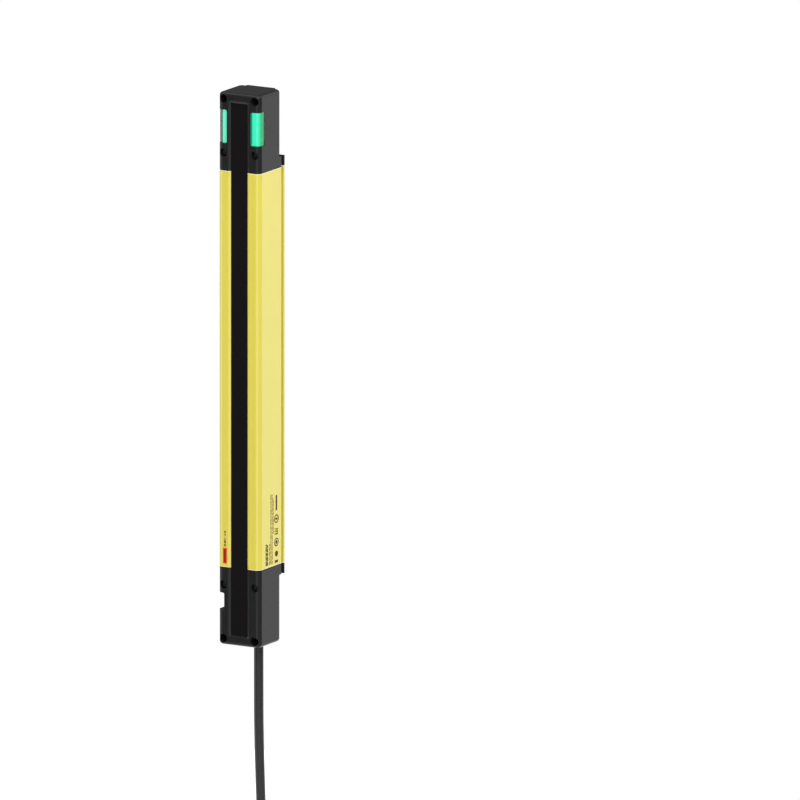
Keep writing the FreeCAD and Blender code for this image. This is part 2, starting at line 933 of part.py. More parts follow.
def optics_rail():
    """The moulded lens carrier: a stepped bar with one lens seat, cone and diode pocket for each beam."""
    end = board_ends()
    nose = ledge_back + piece_gap
    body = prism(
        symmetric(
            [
                (rail_nose_half_width, nose, rail_nose_radius),
                (rail_nose_half_width, rail_nose_end, rail_shoulder_radius),
                (rail_half_width, rail_nose_end, rail_shoulder_radius),
                (rail_half_width, board_front_depth, 0),
            ]
        ),
        -end,
        end,
    )
    cuts = []
    seat_radius = lens_diameter / 2 + lens_seat_room
    for z in beam_heights():
        cuts.append(crosswise(0, z, nose - 1, nose + lens_seat_depth, seat_radius))
        start = nose + lens_seat_depth
        finish = board_front_depth - diode_height - piece_gap
        cuts.append(
            Part.makeCone(
                lens_diameter / 2 - lens_seat_ledge,
                throat_radius,
                finish - start,
                Vector(0, y_of(start), z),
                Vector(0, 1, 0),
            )
        )
        cuts.append(crosswise(0, z, finish - small_overlap, board_front_depth + 1, throat_radius))
        for side in (-1, 1):
            x = side * (rail_nose_half_width + rail_half_width) / 2
            cuts.append(
                box(
                    x - rail_pocket_width / 2,
                    x + rail_pocket_width / 2,
                    rail_nose_end + rail_wall,
                    board_front_depth + 1,
                    z - beam_pitch / 2 + rail_wall,
                    z + beam_pitch / 2 - rail_wall,
                )
            )
    return body.cut(Part.makeCompound(cuts))


def beam_lenses():
    """One plano-convex lens for each beam, seated in the rail with its crown forwards."""
    lenses = []
    nose = ledge_back + piece_gap
    radius = lens_diameter / 2
    sphere = (radius**2 + lens_crown**2) / (2 * lens_crown)
    back = nose + lens_seat_depth
    front = back - lens_edge
    for z in beam_heights():
        disc = crosswise(0, z, front - lens_crown, back, radius)
        ball = Part.makeSphere(sphere, Vector(0, y_of(front - lens_crown) + sphere, z))
        lenses.append(disc.common(ball))
    return Part.makeCompound(lenses)


def beam_diodes():
    """A domed diode on the board behind each lens."""
    diodes = []
    dome_depth = board_front_depth - diode_height + diode_radius
    for z in beam_heights():
        body = crosswise(0, z, dome_depth, board_front_depth, diode_radius)
        dome = Part.makeSphere(diode_radius, Vector(0, y_of(dome_depth), z))
        diodes.append(body.fuse(dome).removeSplitter())
    return Part.makeCompound(diodes)


def chip(x, z, width, height, thickness, depth):
    body = box(x - width / 2, x + width / 2, depth, depth + thickness, z - height / 2, z + height / 2)
    rear = [e for e in body.Edges if e.BoundBox.YMin > y_of(depth + thickness) - 1e-4]
    return body.makeChamfer(chip_chamfer, rear)


def processor_chip():
    return chip(processor_x, 0, processor_width, processor_width, processor_height, board_back)


def driver_chips():
    """One driver on the rear of the board for each group of three beams."""
    heights = beam_heights()
    return Part.makeCompound(
        [chip(driver_x, z, driver_width, driver_length, driver_height, board_back) for z in heights[1::3]]
    )


def capacitors():
    cans = []
    for z in beam_heights()[2:-1:3]:
        can = crosswise(capacitor_x, z, board_back, board_back + capacitor_height, capacitor_radius)
        top = [e for e in can.Edges if e.BoundBox.YMin > y_of(board_back + capacitor_height) - 1e-4]
        cans.append(can.makeFillet(capacitor_edge, [e for e in top if e.BoundBox.XLength > 1]))
    return Part.makeCompound(cans)


def link_sockets():
    """Ribbon sockets: two on the rear of the main board and one on each small board."""
    sockets = []
    end = board_ends()
    main = box(
        -socket_half_width,
        socket_half_width,
        board_back,
        board_back + socket_height,
        end - socket_length - socket_inset,
        end - socket_inset,
    )
    small = box(
        -socket_half_width,
        socket_half_width,
        rib_front_depth,
        rib_front_depth + socket_height,
        half_length + small_board_start + small_socket_inset,
        half_length + small_board_start + small_socket_inset + socket_length,
    )
    for piece in (main, small):
        sockets.append(piece)
        sockets.append(piece.mirror(Vector(0, 0, 0), Vector(0, 0, 1)))
    return Part.makeCompound(sockets)


def ribbon_link():
    """A flat ribbon from the main board's socket through the frame's plug to the small board's socket."""
    start = board_ends() - socket_inset
    main = board_back + socket_height / 2
    small = rib_front_depth + socket_height / 2
    finish = half_length + small_board_start + small_socket_inset
    route = [(main, start), (main, half_length - 2), (small, half_length + 8), (small, finish)]
    half = ribbon_thickness / 2
    corners = [(d - half, z) for d, z in route] + [(d + half, z) for d, z in reversed(route)]
    radii = [0, ribbon_bend, ribbon_bend, 0] * 2
    wire = rounded_wire([(Vector(-ribbon_width / 2, y_of(d), z), r) for (d, z), r in zip(corners, radii)])
    return Part.Face(wire).extrude(Vector(ribbon_width, 0, 0))


def small_board(end_out):
    front = small_board_front
    return box(
        -small_board_half_width, small_board_half_width, front, rib_front_depth, small_board_start, end_out
    )


def board_screw_x():
    return frame_half_width - rib_thickness / 2 - board_screw_offset


def board_screw_places(end_out):
    return [(side * board_screw_x(), end_out - board_screw_inset) for side in (-1, 1)]


def indicator_board():
    board = small_board(indicator_board_end)
    hole_radius = board_screw_radius + board_screw_room
    for x, out in board_screw_places(indicator_board_end):
        board = board.cut(crosswise(x, out, 0, bar_depth, hole_radius))
    return at_upper_end(board)


def indicator_leds():
    middle = lens_top_out - lens_length / 2
    front = small_board_front
    leds = []
    for side in (-1, 1):
        for step in (-1, 0, 1):
            z = middle + step * led_pitch
            x = side * led_x
            body = box(
                x - led_width / 2,
                x + led_width / 2,
                front - led_height,
                front,
                z - led_length / 2,
                z + led_length / 2,
            )
            face = [e for e in body.Edges if e.BoundBox.YMax < y_of(front) - 1]
            leds.append(body.makeChamfer(led_chamfer, face))
    return at_upper_end(Part.makeCompound(leds))


def terminal_board():
    """The lower board, cut back beside the notch's lining."""
    board = small_board(terminal_board_end)
    board = board.cut(
        box(
            -half_width,
            -half_width + notch_width + notch_wall + piece_gap,
            0,
            bar_depth,
            0,
            gasket_thickness + notch_start + notch_length + notch_wall + piece_gap,
        )
    )
    hole_radius = board_screw_radius + board_screw_room
    for x, out in board_screw_places(terminal_board_end):
        if x > 0:
            board = board.cut(crosswise(x, out, 0, bar_depth, hole_radius))
    return at_lower_end(board)


def board_screws():
    """Small screws that hold the two small boards to the frames' ribs."""
    front = small_board_front
    screws = []
    for x, out in board_screw_places(indicator_board_end):
        screws.append(at_upper_end(small_screw(x, out, front)))
    for x, out in board_screw_places(terminal_board_end):
        if x > 0:
            screws.append(at_lower_end(small_screw(x, out, front)))
    return Part.makeCompound(screws)


def small_screw(x, out, seat):
    head = crosswise(x, out, seat - board_screw_head, seat, board_screw_head_radius)
    tip = seat + board_thickness + board_screw_length
    shank = crosswise(x, out, seat - small_overlap, tip, board_screw_radius)
    return head.fuse(shank).removeSplitter()


def header_x(i):
    return cable_x + header_offset + (i - (wire_count - 1) / 2) * header_pitch


def terminal_header():
    """The terminal block on the lower board, which the cable's wires enter from below."""
    front = small_board_front
    left = header_x(0) - header_pitch
    right = header_x(wire_count - 1) + header_pitch
    top = terminal_board_end - header_inset
    block = box(left, right, wire_entry_depth - header_front, front, top - header_height, top)
    middle = top - header_height / 2
    bore_end = wire_entry_depth - header_front + 1
    for i in range(wire_count):
        block = block.cut(crosswise(header_x(i), middle, 0, bore_end, header_bore_radius))
    return at_lower_end(block)


def rounded_path(points):
    """Straight runs joined by tangent arcs, each as large as its runs allow: the wire and its radii."""
    edges = []
    radii = []
    at = points[0]
    for i in range(1, len(points) - 1):
        back = points[i - 1] - points[i]
        ahead = points[i + 1] - points[i]
        short = min(back.Length, ahead.Length)
        reach = bend_share * short
        half_turn = (math.pi - back.getAngle(ahead)) / 2
        radius = reach / math.tan(half_turn)
        start = points[i] + back.normalize() * reach
        end = points[i] + ahead.normalize() * reach
        inward = (back + ahead).normalize()
        centre = points[i] + inward * (radius / math.cos(half_turn))
        middle = centre - inward * radius
        edges.append(Part.LineSegment(at, start).toShape())
        edges.append(Part.Arc(start, middle, end).toShape())
        at = end
        radii.append(radius)
    edges.append(Part.LineSegment(at, points[-1]).toShape())
    return Part.Wire(edges), radii


def tube(points, radius):
    path, radii = rounded_path(points)
    along = points[1] - points[0]
    circle = Part.Wire(Part.makeCircle(radius, points[0], along))
    return path.makePipeShell([circle], True, True), path.Length, radii


def lead_wires():
    """The cable's five cores, from the end of its jacket to the terminal block."""
    wires = []
    y0 = y_of(cable_depth)
    y1 = y_of(wire_entry_depth)
    top = terminal_board_end - header_inset
    for i in range(wire_count):
        x0 = cable_x + (i - (wire_count - 1) / 2) * wire_pitch
        x1 = header_x(i)
        points = [
            Vector(x0, y0, cable_inner_end),
            Vector(x0, y0, cable_inner_end - wire_first_run),
            Vector(x1, y1, top + wire_last_run),
            Vector(x1, y1, top),
        ]
        wires.append(tube(points, wire_radius)[0])
    return at_lower_end(Part.makeCompound(wires))


def cable_bushing():
    """The rubber bushing in the lower cap's end, round the cable, with a flange inside."""
    high = gasket_thickness + cap_length
    inner = high - cap_end_wall
    body = upright(cable_x, cable_depth, inner - small_overlap, high, bushing_radius - bushing_fit)
    flange = upright(cable_x, cable_depth, inner - bushing_flange, inner, bushing_flange_radius)
    whole = body.fuse(flange).removeSplitter()
    whole = whole.cut(upright(cable_x, cable_depth, inner - bushing_flange - 1, high + 1, cable_radius))
    return at_lower_end(whole)


# The cable's route, from its jacket's end inside the lower cap to the plug. It hangs, with a slight set.
cable_route = [
    Vector(cable_x, y_of(cable_depth), -half_length - cable_inner_end),
    Vector(cable_x, y_of(cable_depth), bar_bottom - cable_straight),
    Vector(cable_x + cable_bend_set[0], y_of(cable_depth) + cable_bend_set[1], bar_bottom - cable_bend),
    Vector(cable_x + cable_end_set[0], y_of(cable_depth) + cable_end_set[1], bar_bottom - cable_reach),
]


def pigtail_cable():
    solid, length, radii = tube(cable_route, cable_radius)
    print("cable length %.1f mm, bend radii %s mm" % (length, [round(r) for r in radii]))
    wanted = math.pi * cable_radius**2 * length
    print("cable volume %.1f mm3, section times length %.1f mm3" % (solid.Volume, wanted))
    return solid


def on_plug_axis(shape):
    """Moves a piece made along +Z from the plug's tail to the end of the cable, along its last run."""
    along = cable_route[-1] - cable_route[-2]
    turn = Rotation(Vector(0, 0, 1), along)
    placed = shape.copy()
    placed.Placement = Placement(cable_route[-1], turn)
    return placed


def revolved(outline):
    """A turned solid about Z from (radius, height) points."""
    points = [Vector(r, 0, h) for r, h in outline]
    points.append(points[0])
    return Part.Face(Part.makePolygon(points)).revolve(Vector(0, 0, 0), Vector(0, 0, 1), 360)


def plug_body():
    """The overmoulded grip with its tapered tail and shallow finger flutes."""
    tail = plug_tail_length
    grip = tail + plug_grip_length
    solid = revolved(
        [
            (0, 0),
            (plug_tail_radius, 0),
            (plug_tail_radius + plug_flare, plug_flare_start),
            (plug_grip_radius - plug_shoulder, tail),
            (plug_grip_radius, tail + plug_shoulder_length),
            (plug_grip_radius, grip - plug_grip_edge),
            (plug_grip_radius - plug_grip_edge, grip),
            (0, grip),
        ]
    )
    cuts = []
    centre = plug_grip_radius + flute_radius - flute_depth
    for i in range(flute_count):
        angle = 2 * math.pi * i / flute_count
        place = Vector(centre * math.cos(angle), centre * math.sin(angle), tail + flute_margin)
        cuts.append(Part.makeCylinder(flute_radius, plug_grip_length - 2 * flute_margin, place))
    for step in range(plug_ring_count):
        base = Vector(0, 0, plug_ring_start + plug_ring_pitch * step)
        ring = Part.makeCylinder(plug_tail_radius + 2, plug_ring_width, base)
        core = Part.makeCylinder(plug_tail_radius - plug_ring_depth, plug_ring_width, base)
        cuts.append(ring.cut(core))
    return on_plug_axis(solid.cut(Part.makeCompound(cuts)))


def plug_start():
    return plug_tail_length + plug_grip_length


def plug_sleeve():
    """The metal sleeve, fixed in the grip, with a collar and the plain form of its outer thread."""
    start = plug_start()
    collar = start + plug_collar_length
    end = start + plug_sleeve_length
    root = plug_thread_radius - plug_root_depth
    return on_plug_axis(
        revolved(
            [
                (plug_sleeve_bore, start),
                (plug_collar_radius, start),
                (plug_collar_radius, collar),
                (root, collar),
                (root, collar + plug_neck_length),
                (plug_thread_radius, collar + plug_neck_length + plug_lead_in),
                (plug_thread_radius, end - plug_lead_in),
                (plug_thread_radius - plug_lead_in, end),
                (plug_sleeve_bore, end),
            ]
        )
    )


def plug_seal():
    """The ring behind the sleeve's thread."""
    collar = plug_start() + plug_collar_length
    inner = plug_thread_radius - plug_root_depth
    outer = inner + plug_seal_width
    top = collar + plug_seal_length
    return on_plug_axis(revolved([(inner, collar), (outer, collar), (outer, top), (inner, top)]))


def pin_places():
    places = [(0.0, 0.0)]
    for i in range(plug_pin_count - 1):
        angle = math.radians(45 + 360 / (plug_pin_count - 1) * i)
        places.append((plug_pin_circle * math.cos(angle), plug_pin_circle * math.sin(angle)))
    return places


def plug_insert():
    """The contact carrier inside the sleeve, with its coding rib."""
    start = plug_start()
    radius = plug_sleeve_bore - plug_insert_gap
    core = Part.makeCylinder(radius, plug_insert_length, Vector(0, 0, start))
    corner = Vector(-plug_key_width / 2, radius - plug_key_depth, start)
    rib = Part.makeBox(plug_key_width, plug_key_depth, plug_sleeve_length - plug_key_inset, corner)
    disc = Part.makeCylinder(radius, plug_sleeve_length, Vector(0, 0, start))
    solid = core.fuse(rib.common(disc)).removeSplitter()
    for x, y in pin_places():
        bore = Part.makeCylinder(plug_pin_radius, plug_insert_length + 2, Vector(x, y, start - 1))
        solid = solid.cut(bore)
    return on_plug_axis(solid)


def plug_pins():
    start = plug_start()
    length = plug_insert_length + plug_pin_length
    pins = []
    for x, y in pin_places():
        pin = Part.makeCylinder(plug_pin_radius, length, Vector(x, y, start))
        rim = [e for e in edges_at(pin, start + length) if e.BoundBox.XLength > plug_pin_radius]
        pins.append(pin.makeFillet(plug_pin_tip, rim))
    return on_plug_axis(Part.makeCompound(pins))


def clamp_screw():
    x = cable_x - clamp_screw_offset
    middle = clamp_start + clamp_length / 2
    seat = cable_depth - cable_radius - clamp_wall + clamp_relief
    return at_lower_end(
        screw_along_y(
            x,
            middle,
            seat - clamp_screw_head,
            clamp_screw_head_radius,
            clamp_screw_head,
            clamp_screw_radius,
            clamp_screw_length,
        )
    )


def save(name, shape):
    solids = shape.Solids
    whole = solids[0] if len(solids) == 1 else Part.makeCompound(solids)
    faults = [s for s in solids if not s.isValid() or s.Volume <= 0]
    print("%-22s %2d solids %10.1f mm3 %s" % (name, len(solids), whole.Volume, "INVALID" if faults else ""))
    whole.exportStep(os.path.join("parts", name + ".step"))


def build():
    os.makedirs("parts", exist_ok=True)
    lens = indicator_lens()
    save("housing_profile", housing_profile())
    save("front_window", front_window())
    save("window_seal", window_seal())
    save("upper_cap", upper_cap())
    save("lower_cap", lower_cap())
    save("indicator_lens_right", at_upper_end(lens))
    save("indicator_lens_left", at_upper_end(both_sides(lens)[1]))
    save("upper_gasket", at_upper_end(end_gasket()))
    save("lower_gasket", at_lower_end(end_gasket()))
    save("upper_end_frame", upper_end_frame())
    save("lower_end_frame", lower_end_frame())
    save("upper_frame_screws", at_upper_end(frame_screws()))
    save("lower_frame_screws", at_lower_end(frame_screws()))
    save("upper_cap_screws", at_upper_end(cap_screws()))
    save("lower_cap_screws", at_lower_end(cap_screws()))
    save("optics_rail", optics_rail())
    save("beam_lenses", beam_lenses())
    save("emitter_board", emitter_board())
    save("beam_diodes", beam_diodes())
    save("processor_chip", processor_chip())
    save("driver_chips", driver_chips())
    save("capacitors", capacitors())
    save("link_sockets", link_sockets())
    save("upper_ribbon_link", ribbon_link())
    save("lower_ribbon_link", ribbon_link().mirror(Vector(0, 0, 0), Vector(0, 0, 1)))
    save("indicator_board", indicator_board())
    save("indicator_leds", indicator_leds())
    save("terminal_board", terminal_board())
    save("terminal_header", terminal_header())
    save("board_screws", board_screws())
    save("lead_wires", lead_wires())
    save("cable_clamp", cable_clamp())
    save("clamp_screw", clamp_screw())
    save("cable_bushing", cable_bushing())
    save("pigtail_cable", pigtail_cable())
    save("plug_body", plug_body())
    save("plug_sleeve", plug_sleeve())
    save("plug_seal", plug_seal())
    save("plug_insert", plug_insert())
    save("plug_pins", plug_pins())


build()
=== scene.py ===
"""Looks for one bar of a safety light curtain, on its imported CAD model.

Metres in the CAD's frame: the origin is the centre of the profile's flat rear face, +Z is up and -Y is the
window's side. Sizes named in capitals are millimetres, and MM turns them into metres.
"""

import itertools
import json
import math

import bpy
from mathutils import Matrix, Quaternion, Vector


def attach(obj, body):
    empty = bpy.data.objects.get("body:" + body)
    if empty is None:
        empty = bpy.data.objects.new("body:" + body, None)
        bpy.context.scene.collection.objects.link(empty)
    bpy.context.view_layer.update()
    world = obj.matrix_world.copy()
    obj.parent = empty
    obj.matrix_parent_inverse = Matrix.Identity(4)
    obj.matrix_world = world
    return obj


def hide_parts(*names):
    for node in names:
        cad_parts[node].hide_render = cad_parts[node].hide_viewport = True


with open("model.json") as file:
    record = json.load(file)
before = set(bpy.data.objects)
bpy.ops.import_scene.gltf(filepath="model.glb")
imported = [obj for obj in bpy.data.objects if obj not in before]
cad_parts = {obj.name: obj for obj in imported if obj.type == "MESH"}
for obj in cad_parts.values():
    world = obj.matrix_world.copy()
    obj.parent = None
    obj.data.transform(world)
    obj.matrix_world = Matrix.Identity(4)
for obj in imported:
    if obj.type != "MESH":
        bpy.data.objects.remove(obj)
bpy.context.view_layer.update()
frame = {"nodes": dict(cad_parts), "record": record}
nodes = frame["nodes"]
scene = bpy.context.scene

MM = 0.001


def reach(name, axis):
    """The lowest and highest coordinate of a CAD node along one axis."""
    node = nodes[name]
    values = [(node.matrix_world @ Vector(corner))[axis] for corner in node.bound_box]
    return min(values), max(values)


side_x = reach("housing_profile", 0)[1]
front_y = reach("housing_profile", 1)[0]
profile_end = reach("housing_profile", 2)[1]
lens_inner = reach("indicator_lens_right", 0)[0]
lens_low, lens_high = reach("indicator_lens_right", 2)


def direction(azimuth, elevation):
    """The unit vector towards an azimuth, in degrees to the right of the front, and an elevation."""
    a = math.radians(azimuth)
    e = math.radians(elevation)
    return Vector((math.sin(a) * math.cos(e), -math.cos(a) * math.cos(e), math.sin(e)))


# Camera: the photograph's view, 30 degrees to the right and 12 degrees above, through a long lens
back = direction(30.0, 12.0)
# The picture's width where the bar stands
field = 0.5056
camera_data = bpy.data.cameras.new("camera")
camera_data.sensor_width = 36.0
camera_data.lens = 1600.0
distance = field * camera_data.lens / camera_data.sensor_width
camera = bpy.data.objects.new("camera", camera_data)
scene.collection.objects.link(camera)
# A point to the right of the bar, which stands left of the picture's middle
aim = Vector((0.09036, 0.0156, -0.01801))
camera.location = aim + back * distance
camera.rotation_mode = "QUATERNION"
# A hair of roll keeps the bar upright so far from the lens's axis
roll = Quaternion((0.0, 0.0, 1.0), 0.00097)
camera.rotation_quaternion = (-back).to_track_quat("-Z", "Y") @ roll
camera_data.clip_start = 0.1
camera_data.clip_end = 60.0
scene.camera = camera
scene.view_settings.view_transform = "Standard"

# Cable, along the same points as the CAD's route
CABLE_RADIUS = 3.0
cable_points = [
    (0.00445, -0.0143, -0.1640),
    (0.00445, -0.0143, -0.1984),
    (0.00457, -0.01426, -0.2434),
    (0.00605, -0.0140, -0.2840),
]
cable_curve = bpy.data.curves.new("cable", "CURVE")
cable_curve.dimensions = "3D"
spline = cable_curve.splines.new("NURBS")
spline.points.add(len(cable_points) - 1)
for point, place in zip(spline.points, cable_points):
    point.co = (*place, 1.0)
    point.radius = CABLE_RADIUS * MM
spline.order_u = 3
spline.use_endpoint_u = True
spline.resolution_u = 24
# Each point holds the cable's radius itself, so the bevel is a circle of one metre to scale by it
cable_curve.bevel_depth = 1.0
cable_curve.bevel_resolution = 8
cable = bpy.data.objects.new("cable", cable_curve)
scene.collection.objects.link(cable)
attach(cable, "root")
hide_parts("pigtail_cable")


# Materials
def srgb(r, g, b):
    """A colour given as 0 to 255 in sRGB, in linear light."""

    def linear(v):
        v /= 255.0
        return v / 12.92 if v <= 0.04045 else ((v + 0.055) / 1.055) ** 2.4

    return (linear(r), linear(g), linear(b), 1.0)


class Nodes:
    """A node tree, with short calls for its nodes."""

    def __init__(self, tree):
        self.tree = tree

    def add(self, kind, **settings):
        node = self.tree.nodes.new(kind)
        for key, value in settings.items():
            setattr(node, key, value)
        return node

    def join(self, out, into):
        self.tree.links.new(out, into)

    def spread(self, value, low, high, to_low, to_high, smooth=False):
        """Turns the range low to high into to_low to to_high, and holds the ends beyond it."""
        node = self.add("ShaderNodeMapRange")
        if smooth:
            node.interpolation_type = "SMOOTHSTEP"
        for key, v in (("From Min", low), ("From Max", high), ("To Min", to_low), ("To Max", to_high)):
            node.inputs[key].default_value = v
        self.join(value, node.inputs["Value"])
        return node.outputs["Result"]

    def math(self, operation, a, b=None):
        node = self.add("ShaderNodeMath", operation=operation)
        for i, v in enumerate((a, b)):
            if v is None:
                continue
            if isinstance(v, (int, float)):
                node.inputs[i].default_value = v
            else:
                self.join(v, node.inputs[i])
        return node.outputs["Value"]

    def rays(self):
        """Which kind of ray looks at the surface, as values of 0 or 1."""
        return self.add("ShaderNodeLightPath").outputs


# Most noise lies between these two values
NOISE_LOW = 0.3
NOISE_HIGH = 0.7


class Build(Nodes):
    """One material, with its Principled shader. Noise scales are turns per metre."""

    def __init__(self, name):
        self.material = bpy.data.materials.new(name)
        self.material.use_nodes = True
        super().__init__(self.material.node_tree)
        self.shader = self.tree.nodes["Principled BSDF"]
        self.coords = self.add("ShaderNodeTexCoord").outputs["Object"]

    def fix(self, **values):
        """Values that are the same all over the surface."""
        for key, value in values.items():
            self.shader.inputs[key.replace("_", " ")].default_value = value

    def noise(self, scale, detail=3.0, roughness=0.5, stretch=None):
        node = self.add("ShaderNodeTexNoise")
        node.inputs["Scale"].default_value = scale
        node.inputs["Detail"].default_value = detail
        node.inputs["Roughness"].default_value = roughness
        source = self.coords
        if stretch:
            mapping = self.add("ShaderNodeMapping")
            mapping.inputs["Scale"].default_value = stretch
            self.join(self.coords, mapping.inputs["Vector"])
            source = mapping.outputs["Vector"]
        self.join(source, node.inputs["Vector"])
        return node.outputs["Fac"]

    def voronoi(self, scale):
        node = self.add("ShaderNodeTexVoronoi")
        node.inputs["Scale"].default_value = scale
        self.join(self.coords, node.inputs["Vector"])
        return node.outputs["Distance"]

    def part(self, axis):
        """One coordinate of the surface's point: X, Y or Z."""
        node = self.add("ShaderNodeSeparateXYZ")
        self.join(self.coords, node.inputs["Vector"])
        return node.outputs[axis]

    def mix(self, factor, a, b):
        """A colour that goes from a to b as the factor goes from 0 to 1."""
        node = self.add("ShaderNodeMix", data_type="RGBA")
        sockets = [s for s in node.inputs if s.type == "RGBA"]
        for socket, v in zip(sockets, (a, b)):
            if isinstance(v, tuple):
                socket.default_value = v
            else:
                self.join(v, socket)
        self.join(factor, node.inputs[0])
        return [s for s in node.outputs if s.type == "RGBA"][0]

    def colour(self, value):
        self.join(value, self.shader.inputs["Base Color"])

    def vary(self, base, amount, scale, **noise):
        """The base colour, a little darker and lighter in patches."""
        dark = tuple([c * (1 - amount) for c in base[:3]] + [1.0])
        light = tuple([min(1.0, c * (1 + amount)) for c in base[:3]] + [1.0])
        patches = self.spread(self.noise(scale, **noise), NOISE_LOW, NOISE_HIGH, 0.0, 1.0)
        return self.mix(patches, dark, light)

    def rough(self, low, high, scale, **noise):
        """Roughness between two values, in patches."""
        value = self.spread(self.noise(scale, **noise), NOISE_LOW, NOISE_HIGH, low, high)
        self.join(value, self.shader.inputs["Roughness"])

    def bump(self, height, strength, depth):
        """Relief from a height between 0 and 1. depth is in millimetres."""
        node = self.add("ShaderNodeBump")
        node.inputs["Strength"].default_value = strength
        node.inputs["Distance"].default_value = depth * MM
        self.join(height, node.inputs["Height"])
        self.join(node.outputs["Normal"], self.shader.inputs["Normal"])


def powder_coat():
    """Yellow powder coat, with a painted highlight: a pale line along the profile's two cut edges, where
    they catch the light.
    """
    b = Build("powder_coat_yellow")
    base = b.vary(srgb(216, 202, 77), 0.012, 60.0)
    height = b.math("ABSOLUTE", b.part("Z"))
    # Painted highlight: the colour turns pale within half a millimetre of each cut edge
    cut_edge_highlight = b.spread(height, profile_end - 0.5 * MM, profile_end - 0.1 * MM, 0.0, 1.0)
    b.colour(b.mix(cut_edge_highlight, base, srgb(246, 240, 190)))
    b.rough(0.2, 0.26, 220.0)
    b.fix(Specular_IOR_Level=1.0)
    b.bump(b.noise(700.0, detail=2.0), 0.05, 0.05)
    return b.material


def moulded(name, base, low=0.18, high=0.24, relief=0.08):
    """Moulded plastic with a fine grain over a faint flow."""
    b = Build(name)
    b.colour(b.vary(base, 0.06, 90.0))
    b.rough(low, high, 300.0)
    b.fix(Specular_IOR_Level=0.2)
    fine = b.noise(1800.0, detail=4.0, roughness=0.6)
    flow = b.noise(160.0, detail=1.0)
    b.bump(b.math("ADD", fine, b.math("MULTIPLY", flow, 0.4)), relief, 0.06)
    return b.material


def glossy(name, base, low=0.06, high=0.1):
    """Smooth plastic with a faint waviness."""
    b = Build(name)
    b.colour(b.vary(base, 0.05, 40.0))
    b.rough(low, high, 60.0)
    b.bump(b.noise(45.0, detail=1.0), 0.03, 0.1)
    return b.material


def metal(name, base, low=0.22, high=0.34):
    """Bare or plated metal with a fine grain."""
    b = Build(name)
    b.colour(b.vary(base, 0.08, 500.0))
    b.rough(low, high, 900.0)
    b.fix(Metallic=1.0)
    b.bump(b.noise(1500.0), 0.12, 0.04)
    return b.material


def cap_screw():
    """Blackened steel, with painted shade: the screws at the bar's ends are painted near black for the
    shade of their wells.
    """
    b = Build("cap_screw_steel")
    height = b.math("ABSOLUTE", b.part("Z"))
    half_way = profile_end + 26 * MM
    # Painted shade: the screws beyond half_way, at the bar's ends, are painted near black
    outer = b.spread(height, half_way - 1 * MM, half_way + 1 * MM, 0.0, 1.0)
    b.colour(b.mix(outer, srgb(100, 100, 102), srgb(20, 20, 21)))
    b.rough(0.3, 0.4, 900.0)
    b.fix(Metallic=1.0)
    b.bump(b.noise(1500.0), 0.12, 0.04)
    return b.material


def rubber(name, base, low=0.5, high=0.62):
    """Dull rubber with a fine grain."""
    b = Build(name)
    b.colour(b.vary(base, 0.1, 120.0))
    b.rough(low, high, 500.0)
    b.fix(Specular_IOR_Level=0.4)
    b.bump(b.noise(1400.0, detail=4.0), 0.2, 0.06)
    return b.material


def jacket():
    """Black cable jacket, drawn lengthwise."""
    b = Build("cable_jacket_black")
    b.colour(b.vary(srgb(34, 34, 35), 0.1, 70.0))
    b.rough(0.34, 0.44, 300.0, stretch=(1.0, 1.0, 0.05))
    b.fix(Specular_IOR_Level=0.38)
    lines = b.noise(900.0, detail=2.0, stretch=(1.0, 1.0, 0.03))
    b.bump(lines, 0.25, 0.06)
    return b.material


def status_lens():
    """Clear polycarbonate, lit from the light core behind it."""
    b = Build("status_lens_clear")
    b.colour(b.vary(srgb(236, 250, 244), 0.02, 150.0))
    b.rough(0.0, 0.03, 300.0)
    b.fix(Transmission_Weight=1.0, IOR=1.58)
    return b.material


def board():
    """Green solder mask over faint tracks."""
    b = Build("circuit_board_green")
    tracks = b.spread(b.voronoi(700.0), 0.25, 0.3, 0.0, 1.0)
    b.colour(b.mix(tracks, srgb(12, 92, 52), srgb(8, 70, 40)))
    b.rough(0.25, 0.35, 400.0)
    b.bump(tracks, 0.3, 0.03)
    return b.material


def clear_optic():
    """Clear moulded acrylic."""
    b = Build("clear_optic")
    b.colour(b.vary(srgb(225, 232, 238), 0.03, 150.0))
    b.fix(Transmission_Weight=0.85, IOR=1.49)
    b.rough(0.02, 0.05, 300.0)
    b.bump(b.noise(300.0, detail=1.0), 0.02, 0.05)
    return b.material


